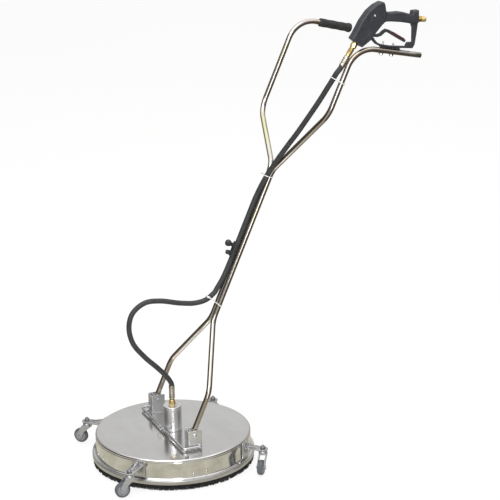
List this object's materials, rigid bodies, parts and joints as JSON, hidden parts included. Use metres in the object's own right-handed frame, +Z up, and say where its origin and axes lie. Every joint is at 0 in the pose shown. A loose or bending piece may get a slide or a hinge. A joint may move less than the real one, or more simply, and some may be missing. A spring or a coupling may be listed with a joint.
{
  "type": "flat surface cleaner",
  "caption": "Pressure-fed flat surface cleaner: round polished steel pan with a brush skirt, hub swivel and spray bar, swivel casters, and a tilting two-tube handle with a trigger gun and hose.",
  "frame": {"origin": "the floor point under the middle of the overall box (the rotor axis stands 264.9 mm in front of it, towards -Y, and 1.1 mm to -X)", "axes": "+Z up, +Y back towards the operator, +X to the operator's left (the side that carries the trigger gun)"},
  "size_m": [0.5562, 1.1042, 1.5247],
  "materials": {
    "polished_steel": "mirror-polished stainless sheet",
    "satin_steel": "satin stainless",
    "tube_steel": "polished stainless tube, slightly straw-tinted",
    "aluminium": "turned aluminium",
    "zinc": "zinc-plated pressed steel",
    "brass": "turned brass",
    "black_rubber": "matte hose cover",
    "slate_plastic": "fine-grained moulding",
    "dark_red_plastic": "moulded",
    "grip_rubber": "soft grip, matte",
    "bristle": "nylon bristle",
    "grey_tyre": "grey rubber tread on a moulded wheel",
    "steel": "machined steel"
  },
  "bodies": {
    "deck": {"deck_pan": "polished_steel", "deck_stiffener": "steel", "brush_carrier_ring": "satin_steel", "brush_bristles": "bristle", "swivel_housing": "aluminium", "swivel_cap": "aluminium", "lower_bearing": "steel", "upper_bearing": "steel", "shaft_seal": "black_rubber", "swivel_inlet_fitting": "brass", "hose_ferrule_lower": "satin_steel", "pivot_bracket_left": "satin_steel", "pivot_bracket_right": "satin_steel", "pivot_bolt_left": "steel", "pivot_bolt_right": "steel", "caster_bracket_rear_left": "zinc", "caster_bracket_rear_right": "zinc", "caster_bracket_front_right": "zinc", "caster_bracket_front_left": "zinc"},
    "rotor": {"rotor_shaft": "steel", "rotor_hub": "brass", "spray_arm_a": "satin_steel", "spray_arm_b": "satin_steel", "nozzle_a": "brass", "nozzle_b": "brass"},
    "stop_bail": {"lock_bail": "satin_steel", "bail_clip": "satin_steel"},
    "handle": {"handle_tube_left": "tube_steel", "handle_tube_right": "tube_steel", "handle_eye_left": "steel", "handle_eye_right": "steel", "handle_grip": "grip_rubber", "gun_shell_left": "slate_plastic", "gun_shell_right": "slate_plastic", "gun_valve_block": "brass", "trigger_pin": "steel", "gun_inlet_fitting": "brass", "gun_outlet_fitting": "brass", "hose_ferrule_upper": "satin_steel", "gun_saddle": "black_rubber", "clamp_bolt_front": "steel", "clamp_bolt_rear": "steel", "hose_upper": "black_rubber", "hose_lower": "black_rubber", "hose_clip": "black_rubber"},
    "trigger": {"gun_trigger": "slate_plastic"},
    "lock_lever": {"trigger_lock": "dark_red_plastic"},
    "valve_stem": {"gun_valve_stem": "steel"},
    "fork_rear_left": {"caster_fork_rear_left": "zinc", "caster_axle_rear_left": "steel"},
    "wheel_rear_left": {"caster_wheel_rear_left": "grey_tyre"},
    "fork_rear_right": {"caster_fork_rear_right": "zinc", "caster_axle_rear_right": "steel"},
    "wheel_rear_right": {"caster_wheel_rear_right": "grey_tyre"},
    "fork_front_right": {"caster_fork_front_right": "zinc", "caster_axle_front_right": "steel"},
    "wheel_front_right": {"caster_wheel_front_right": "grey_tyre"},
    "fork_front_left": {"caster_fork_front_left": "zinc", "caster_axle_front_left": "steel"},
    "wheel_front_left": {"caster_wheel_front_left": "grey_tyre"}
  },
  "joints": [
    {"name": "rotor_spin", "type": "hinge", "parent": "deck", "child": "rotor", "pos_m": [-0.00106, -0.26491, 0.05], "axis": [0, 0, 1], "continuous": true},
    {"name": "handle_pivot", "type": "hinge", "parent": "deck", "child": "handle", "pos_m": [-0.00106, -0.25991, 0.15], "axis": [-1, 0, 0], "range_deg": [-24.5, 50], "deforming": ["hose_lower"]},
    {"name": "bail_lift", "type": "hinge", "parent": "deck", "child": "stop_bail", "pos_m": [-0.00106, -0.24191, 0.1115], "axis": [-1, 0, 0], "range_deg": [-4, 14]},
    {"name": "trigger_pull", "type": "hinge", "parent": "handle", "child": "trigger", "pos_m": [0.22494, 0.35269, 1.4237], "axis": [1, 0, 0], "range_deg": [0, 13], "stiffness_Nm_per_rad": 0.8},
    {"name": "trigger_lock_flip", "type": "hinge", "parent": "trigger", "child": "lock_lever", "pos_m": [0.22494, 0.47218, 1.39789], "axis": [-1, 0, 0], "range_deg": [0, 15]},
    {"name": "valve_stem_slide", "type": "slide", "parent": "handle", "child": "valve_stem", "axis": [0, -0.5736, 0.8192], "range_m": [0, 0.0025]},
    {"name": "caster_swivel_rear_left", "type": "hinge", "parent": "deck", "child": "fork_rear_left", "pos_m": [0.23592, -0.04003, 0.08], "axis": [0, 0, 1], "continuous": true},
    {"name": "wheel_roll_rear_left", "type": "hinge", "parent": "fork_rear_left", "child": "wheel_rear_left", "pos_m": [0.25534, -0.05576, 0.025], "axis": [0.6293, 0.7771, 0], "continuous": true},
    {"name": "caster_swivel_rear_right", "type": "hinge", "parent": "deck", "child": "fork_rear_right", "pos_m": [-0.22595, -0.02793, 0.08], "axis": [0, 0, 1], "continuous": true},
    {"name": "wheel_roll_rear_right", "type": "hinge", "parent": "fork_rear_right", "child": "wheel_rear_right", "pos_m": [-0.23367, -0.00416, 0.025], "axis": [-0.9511, -0.309, 0], "continuous": true},
    {"name": "caster_swivel_front_right", "type": "hinge", "parent": "deck", "child": "fork_front_right", "pos_m": [-0.23804, -0.4898, 0.08], "axis": [0, 0, 1], "continuous": true},
    {"name": "wheel_roll_front_right", "type": "hinge", "parent": "fork_front_right", "child": "wheel_front_right", "pos_m": [-0.25603, -0.50716, 0.025], "axis": [0.6947, -0.7193, 0], "continuous": true},
    {"name": "caster_swivel_front_left", "type": "hinge", "parent": "deck", "child": "fork_front_left", "pos_m": [0.22382, -0.50189, 0.08], "axis": [0, 0, 1], "continuous": true},
    {"name": "wheel_roll_front_left", "type": "hinge", "parent": "fork_front_left", "child": "wheel_front_left", "pos_m": [0.22121, -0.52675, 0.025], "axis": [0.9945, -0.1045, 0], "continuous": true}
  ],
  "couplings": [
    {"joint": "valve_stem_slide", "follows": "trigger_pull", "m_per_rad": 0.01}
  ]
}
